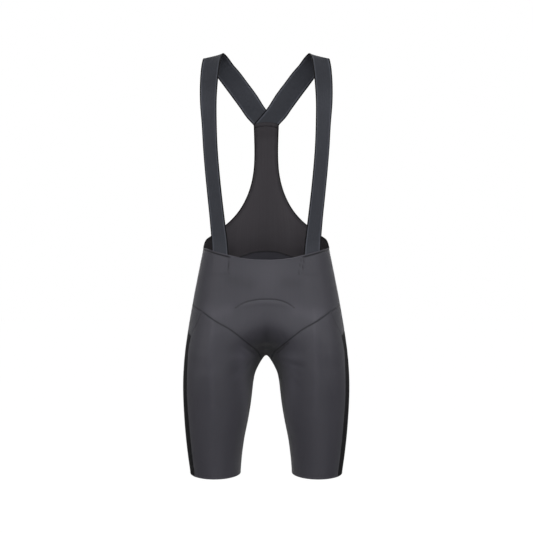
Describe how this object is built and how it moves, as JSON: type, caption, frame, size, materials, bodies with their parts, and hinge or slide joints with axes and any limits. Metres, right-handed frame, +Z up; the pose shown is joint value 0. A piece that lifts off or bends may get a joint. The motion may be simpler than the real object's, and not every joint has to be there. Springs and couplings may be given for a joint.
{
  "type": "cycling bib shorts",
  "caption": "Thigh-length stretch bib shorts in worn form, with wide elastic straps that run over the shoulders to a narrow racer back.",
  "frame": {"origin": "on the centre plane, level with and between the two places where the straps cross the wearer's shoulders", "axes": "+Z up towards the neck, the front faces -Y, +X is the right-hand side as seen from the front"},
  "size_m": [0.3476, 0.2407, 0.8829],
  "materials": {
    "body_cloth": "smooth dark grey warp-knit stretch cloth with a soft sheen",
    "side_cloth": "near-black matt stretch cloth",
    "bib_mesh": "thin matt charcoal knit",
    "elastic": "matt lengthwise-ribbed elastic webbing",
    "pad_foam": "matt brushed cover over soft foam"
  },
  "bodies": {
    "root": {"front_panel": "body_cloth", "seat_panel": "body_cloth", "leg_panel_left": "body_cloth", "leg_panel_right": "body_cloth", "hip_panel_left": "body_cloth", "hip_panel_right": "body_cloth", "side_panel_left": "side_cloth", "side_panel_right": "side_cloth", "back_bib": "bib_mesh", "strap_left": "elastic", "strap_right": "elastic", "chamois_pad": "pad_foam"}
  },
  "joints": []
}
